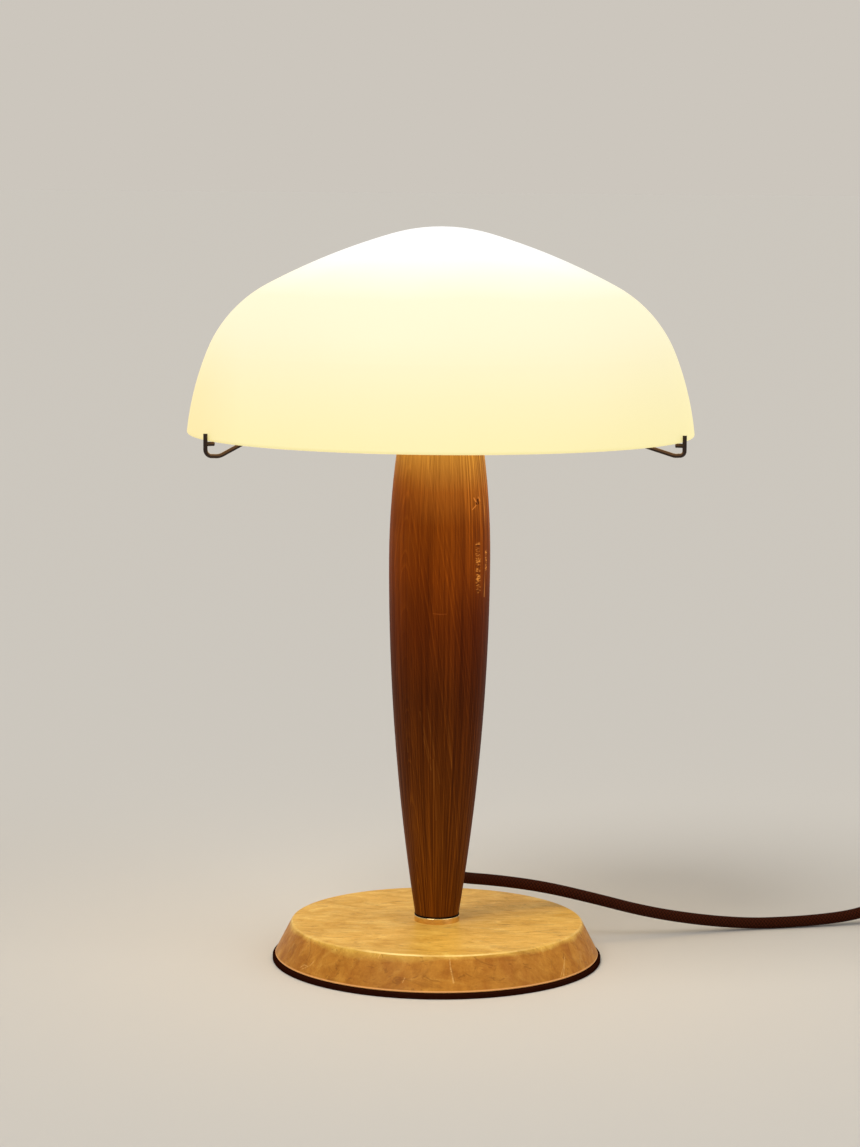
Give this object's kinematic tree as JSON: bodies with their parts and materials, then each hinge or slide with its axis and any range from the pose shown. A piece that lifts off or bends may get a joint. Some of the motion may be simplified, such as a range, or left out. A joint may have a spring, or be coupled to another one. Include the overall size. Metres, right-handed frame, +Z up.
{
  "type": "mushroom table lamp",
  "caption": "Table lamp with a domed opal glass shade on hooked wire arms, a turned wooden stem, a round stone base and a braided cord with rocker switch and plug.",
  "frame": {"origin": "centre of the foot on the table", "axes": "+Z up along the stem, -Y towards the picture's viewer, +X to the side where the cord lies"},
  "size_m": [0.5554, 0.3026, 0.4392],
  "materials": {
    "dark_foot": "matt",
    "stone": "honed, mottled",
    "steel": "zinc plated",
    "brass": "satin",
    "polished_metal": "polished",
    "black_rubber": "matt",
    "wood": "oiled, vertical grain",
    "dark_plastic": "satin",
    "rocker_plastic": "gloss",
    "brown_wire": "gloss",
    "blue_wire": "gloss",
    "dark_metal": "dark polished wire",
    "opal_glass": "white opal, lit from inside",
    "holder_plastic": "moulded",
    "solder_tip": "matt",
    "black_insulator": "gloss",
    "nickel": "nickel plated",
    "white_plastic": "satin",
    "board": "white coated",
    "bulb_diffuser": "frosted, lit",
    "braided_cord": "woven textile sleeve"
  },
  "bodies": {
    "lamp": {"foot_pad": "dark_foot", "stone_base": "stone", "base_washer": "steel", "base_bolt": "steel", "threaded_insert": "brass", "collar_ring": "polished_metal", "collar_gasket": "black_rubber", "wooden_stem": "wood", "cord_bushing": "dark_plastic", "live_lead": "brown_wire", "neutral_lead": "blue_wire", "stem_plate": "steel", "threaded_tube": "steel", "carrier_hub": "dark_metal", "hub_nut": "steel", "carrier_arm_left": "dark_metal", "carrier_arm_right": "dark_metal", "carrier_arm_rear": "dark_metal", "holder_cap": "holder_plastic", "holder_insert": "holder_plastic", "terminal_screws": "brass", "holder_skirt": "holder_plastic", "screw_shell": "brass", "centre_contact": "brass", "switch_base": "dark_plastic", "switch_cover": "dark_plastic", "rocker_pin": "steel", "live_contacts": "brass", "cord_clamp_lamp_side": "holder_plastic", "cord_clamp_plug_side": "holder_plastic", "clamp_screws": "steel", "case_screws": "steel", "neutral_link": "blue_wire", "live_links": "brown_wire", "plug_body": "dark_plastic", "plug_pins": "nickel", "pin_sleeves": "holder_plastic", "plug_relief": "dark_plastic", "cord_coil": "braided_cord", "cord_to_switch": "braided_cord", "cord_to_coil": "braided_cord", "cord_to_plug": "braided_cord"},
    "shade": {"glass_shade": "opal_glass"},
    "bulb": {"bulb_tip": "solder_tip", "bulb_insulator": "black_insulator", "bulb_cap": "nickel", "bulb_housing": "white_plastic", "led_board": "board", "bulb_diffuser": "bulb_diffuser"},
    "rocker": {"switch_rocker": "rocker_plastic", "contact_bridge": "brass"}
  },
  "joints": [
    {"name": "shade_lift", "type": "slide", "parent": "lamp", "child": "shade", "axis": [0, 0, 1], "range_m": [0, 0.12]},
    {"name": "bulb_unscrew", "type": "slide", "parent": "lamp", "child": "bulb", "axis": [0, 0, 1], "range_m": [0, 0.018]},
    {"name": "switch_rock", "type": "hinge", "parent": "lamp", "child": "rocker", "pos_m": [0.313, 0.096, 0.014], "axis": [0, 1, 0], "range_deg": [-16, 0]}
  ]
}
